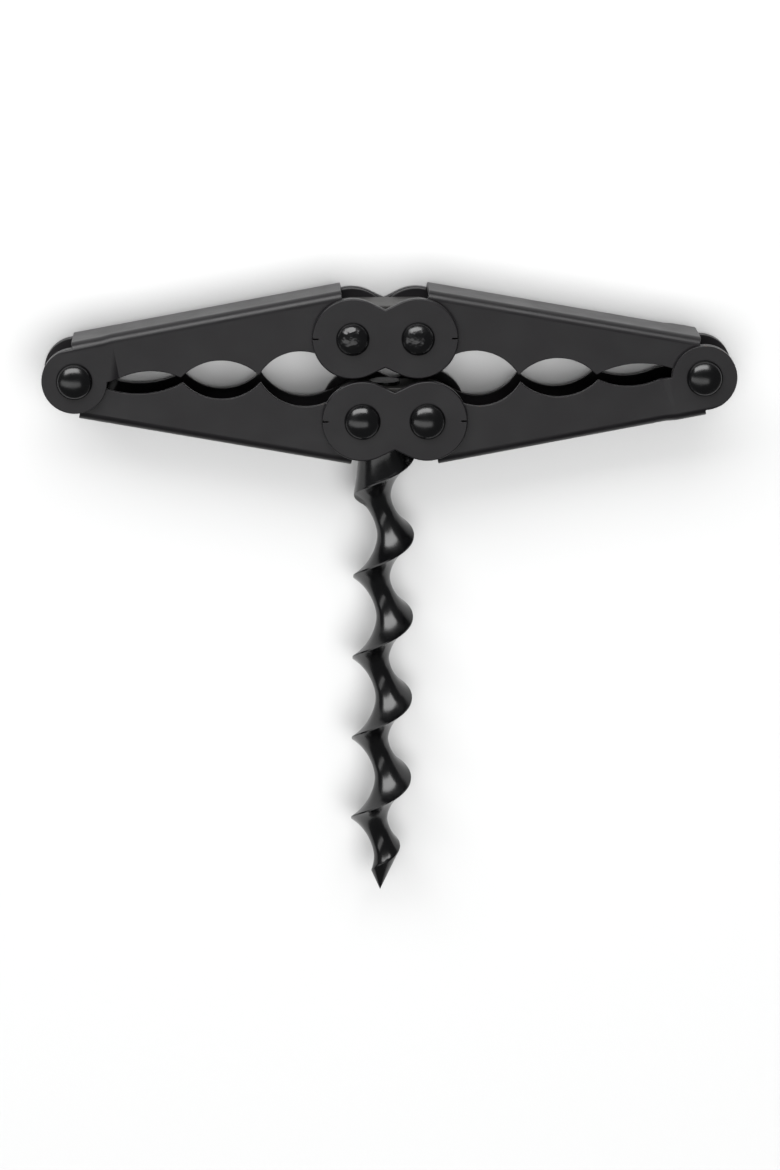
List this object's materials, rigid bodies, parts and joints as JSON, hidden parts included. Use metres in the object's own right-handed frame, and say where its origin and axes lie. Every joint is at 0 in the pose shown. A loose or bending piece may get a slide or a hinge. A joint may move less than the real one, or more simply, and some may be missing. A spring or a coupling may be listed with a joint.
{
  "type": "folding corkscrew",
  "caption": "Folding lazy-tongs corkscrew: scalloped channel arms on riveted figure-8 links, folded flat as a T-handle, with a right-handed screw worm.",
  "frame": {"origin": "middle of the footprint, on the plane of the rivets' flat tails, on which the folded part lies", "axes": "+X along the folded arms, -Y along the worm to its point, +Z out of the front, the side with the domed rivet heads"},
  "size_m": [0.14, 0.1274, 0.019],
  "materials": {
    "satin_enamel": "satin black enamel over pressed steel",
    "gloss_enamel": "gloss black enamel over turned steel",
    "inner_steel": "dull enamelled steel, worn grey"
  },
  "bodies": {
    "lower_link": {"lower_link_front_plate": "satin_enamel", "lower_link_rear_plate": "satin_enamel", "worm_carrier_block": "inner_steel", "worm": "gloss_enamel", "lower_left_link_rivet": "gloss_enamel", "lower_right_link_rivet": "gloss_enamel"},
    "left_lower_arm": {"lower_left_arm": "satin_enamel", "left_outer_rivet": "gloss_enamel", "left_spacer_tube": "inner_steel"},
    "left_upper_arm": {"upper_left_arm": "satin_enamel"},
    "right_lower_arm": {"lower_right_arm": "satin_enamel"},
    "right_upper_arm": {"upper_right_arm": "satin_enamel", "right_outer_rivet": "gloss_enamel", "right_spacer_tube": "inner_steel"},
    "upper_link": {"upper_link_front_plate": "satin_enamel", "upper_link_rear_plate": "satin_enamel", "upper_spacer_block": "inner_steel", "upper_left_link_rivet": "gloss_enamel", "upper_right_link_rivet": "gloss_enamel"}
  },
  "joints": [
    {"name": "left_unfold", "type": "hinge", "parent": "lower_link", "child": "left_lower_arm", "pos_m": [-0.00559, 0.03746, 0.00886], "axis": [0, 0, -1], "range_deg": [0, 75]},
    {"name": "right_unfold", "type": "hinge", "parent": "lower_link", "child": "right_lower_arm", "pos_m": [0.0075, 0.03746, 0.00886], "axis": [0, 0, 1], "range_deg": [0, 75]},
    {"name": "left_knuckle", "type": "hinge", "parent": "left_lower_arm", "child": "left_upper_arm", "pos_m": [-0.0634, 0.04591, 0.00886], "axis": [0, 0, 1], "range_deg": [0, 150]},
    {"name": "right_knuckle", "type": "hinge", "parent": "right_lower_arm", "child": "right_upper_arm", "pos_m": [0.0634, 0.04591, 0.00886], "axis": [0, 0, -1], "range_deg": [0, 150]},
    {"name": "upper_link_pivot", "type": "hinge", "parent": "left_upper_arm", "child": "upper_link", "pos_m": [-0.0075, 0.05436, 0.00886], "axis": [0, 0, -1], "range_deg": [0, 75]}
  ],
  "couplings": [
    {"joint": "right_unfold", "follows": "left_unfold", "ratio": 1},
    {"joint": "left_knuckle", "follows": "left_unfold", "ratio": 2},
    {"joint": "right_knuckle", "follows": "left_unfold", "ratio": 2},
    {"joint": "upper_link_pivot", "follows": "left_unfold", "ratio": 1}
  ]
}
